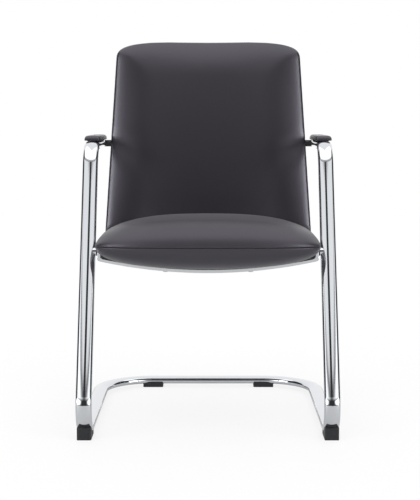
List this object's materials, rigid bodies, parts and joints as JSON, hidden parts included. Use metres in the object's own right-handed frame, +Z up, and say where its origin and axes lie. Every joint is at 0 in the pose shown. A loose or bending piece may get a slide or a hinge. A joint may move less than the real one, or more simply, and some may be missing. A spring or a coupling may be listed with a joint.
{
  "type": "guest chair",
  "caption": "Cantilever guest chair with a bent flat-oval tube frame, arm pads, a crowned leather seat and a dished leather back.",
  "frame": {"origin": "on the floor under the middle of the chair's bounding box", "axes": "+X to the right seen from the front, -Y towards the sitter's knees, +Z up"},
  "size_m": [0.5868, 0.602, 0.8778],
  "materials": {
    "chrome": "mirror polished",
    "leather": "fine grained, low sheen",
    "black_plastic": "moulded, fine texture",
    "zinc_steel": "zinc plated",
    "plywood": "raw bent plywood"
  },
  "bodies": {
    "root": {"frame_tube_left": "chrome", "frame_tube_right": "chrome", "seat_bar": "chrome", "leg_boss_left": "chrome", "leg_boss_right": "chrome", "seat_cushion": "leather", "seat_underside": "leather", "back_cushion": "leather", "back_rear_cover": "leather", "arm_pad_left": "leather", "arm_pad_right": "leather", "front_glide_left": "black_plastic", "front_glide_right": "black_plastic", "rear_glide_left": "black_plastic", "rear_glide_right": "black_plastic", "arm_plug_left": "black_plastic", "arm_plug_right": "black_plastic", "bar_washers": "black_plastic", "saddle_washers": "black_plastic", "back_spacer_left": "black_plastic", "back_spacer_right": "black_plastic", "seat_base_pan": "black_plastic", "arm_pad_base_left": "black_plastic", "arm_pad_base_right": "black_plastic", "frame_sleeve": "zinc_steel", "glide_screws": "zinc_steel", "bar_bolts": "zinc_steel", "seat_tee_nuts": "zinc_steel", "seat_screws": "zinc_steel", "bracket_screws": "zinc_steel", "seat_bracket_left": "zinc_steel", "seat_bracket_right": "zinc_steel", "anchor_screws": "zinc_steel", "back_anchor_left": "zinc_steel", "back_anchor_right": "zinc_steel", "arm_bolts": "zinc_steel", "arm_pad_screws": "zinc_steel", "seat_board": "plywood", "back_board": "plywood"}
  },
  "joints": []
}
